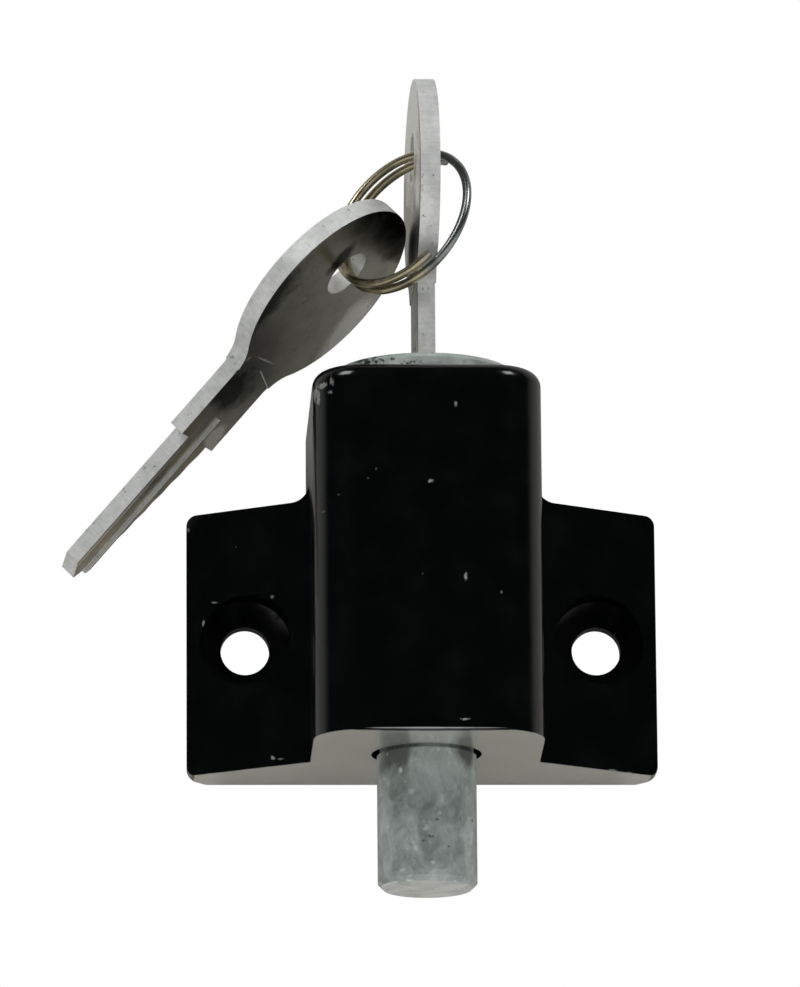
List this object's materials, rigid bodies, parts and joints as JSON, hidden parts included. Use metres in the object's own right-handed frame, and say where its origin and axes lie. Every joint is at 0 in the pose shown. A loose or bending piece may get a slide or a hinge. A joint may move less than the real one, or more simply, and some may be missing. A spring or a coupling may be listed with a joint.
{
  "type": "keyed bolt lock",
  "caption": "Surface-mounted keyed bolt lock: winged housing, sliding key barrel that carries a round bolt, side latch, and two keys on a split ring.",
  "frame": {"origin": "on the back mounting plane, halfway between the two screw holes", "axes": "+X along the wings to the right, -Y out of the boss towards the front, +Z towards the key; the bolt points along -Z"},
  "size_m": [0.0608, 0.027, 0.0841],
  "materials": {
    "housing_paint": "gloss black paint on die-cast zinc, bare machined lower face",
    "black_steel": "black oxide",
    "barrel_plate": "worn nickel plate",
    "bolt_steel": "mottled zinc plate",
    "plug_brass": "turned",
    "wafer_brass": "stamped",
    "spring_steel": "drawn wire",
    "key_nickel": "satin nickel on brass",
    "ring_nickel": "bright nickel wire"
  },
  "bodies": {
    "housing": {"housing": "housing_paint", "guide_screw": "black_steel", "return_spring": "spring_steel"},
    "barrel": {"cylinder_shell": "barrel_plate", "bolt": "bolt_steel", "bolt_cross_pin": "bolt_steel"},
    "plug": {"plug": "plug_brass", "plug_clip": "spring_steel", "wafer_spring_1": "spring_steel", "wafer_spring_2": "spring_steel", "wafer_spring_3": "spring_steel", "wafer_spring_4": "spring_steel", "wafer_spring_5": "spring_steel"},
    "latch": {"latch": "bolt_steel"},
    "wafer_1": {"wafer_1": "wafer_brass"},
    "wafer_2": {"wafer_2": "wafer_brass"},
    "wafer_3": {"wafer_3": "wafer_brass"},
    "wafer_4": {"wafer_4": "wafer_brass"},
    "wafer_5": {"wafer_5": "wafer_brass"},
    "inserted_key": {"inserted_key": "key_nickel"},
    "key_ring": {"key_ring": "ring_nickel"},
    "spare_key": {"spare_key": "key_nickel"}
  },
  "joints": [
    {"name": "barrel_slide", "type": "slide", "parent": "housing", "child": "barrel", "axis": [0, 0, 1], "range_m": [0, 0.0134], "deforming": ["return_spring"]},
    {"name": "key_turn", "type": "hinge", "parent": "barrel", "child": "plug", "pos_m": [0, -0.015, 0.02], "axis": [0, 0, 1], "range_deg": [-90, 0]},
    {"name": "latch_slide", "type": "slide", "parent": "barrel", "child": "latch", "axis": [0, 1, 0], "range_m": [0, 0.0022]},
    {"name": "wafer_1_lift", "type": "slide", "parent": "plug", "child": "wafer_1", "axis": [-0.0436, 0.999, 0], "range_m": [0, 0.001], "stiffness_N_per_m": 100, "springref_m": -0.002, "deforming": ["wafer_spring_1"]},
    {"name": "wafer_2_lift", "type": "slide", "parent": "plug", "child": "wafer_2", "axis": [-0.0436, 0.999, 0], "range_m": [0, 0.001], "stiffness_N_per_m": 100, "springref_m": -0.002, "deforming": ["wafer_spring_2"]},
    {"name": "wafer_3_lift", "type": "slide", "parent": "plug", "child": "wafer_3", "axis": [-0.0436, 0.999, 0], "range_m": [0, 0.001], "stiffness_N_per_m": 100, "springref_m": -0.002, "deforming": ["wafer_spring_3"]},
    {"name": "wafer_4_lift", "type": "slide", "parent": "plug", "child": "wafer_4", "axis": [-0.0436, 0.999, 0], "range_m": [0, 0.001], "stiffness_N_per_m": 100, "springref_m": -0.002, "deforming": ["wafer_spring_4"]},
    {"name": "wafer_5_lift", "type": "slide", "parent": "plug", "child": "wafer_5", "axis": [-0.0436, 0.999, 0], "range_m": [0, 0.001], "stiffness_N_per_m": 100, "springref_m": -0.002, "deforming": ["wafer_spring_5"]},
    {"name": "key_draw", "type": "slide", "parent": "plug", "child": "inserted_key", "axis": [0, 0, 1], "range_m": [0, 0.024]},
    {"name": "ring_swing", "type": "hinge", "parent": "inserted_key", "child": "key_ring", "pos_m": [0, -0.015, 0.0487], "axis": [0.999, 0.0436, 0], "range_deg": [-25, 0]},
    {"name": "spare_swing", "type": "hinge", "parent": "key_ring", "child": "spare_key", "pos_m": [-0.00802, -0.01373, 0.03783], "axis": [0.1726, -0.5318, -0.8291], "range_deg": [-15, 6]}
  ],
  "couplings": [
    {"joint": "latch_slide", "follows": "key_turn", "m_per_rad": -0.0013955}
  ]
}
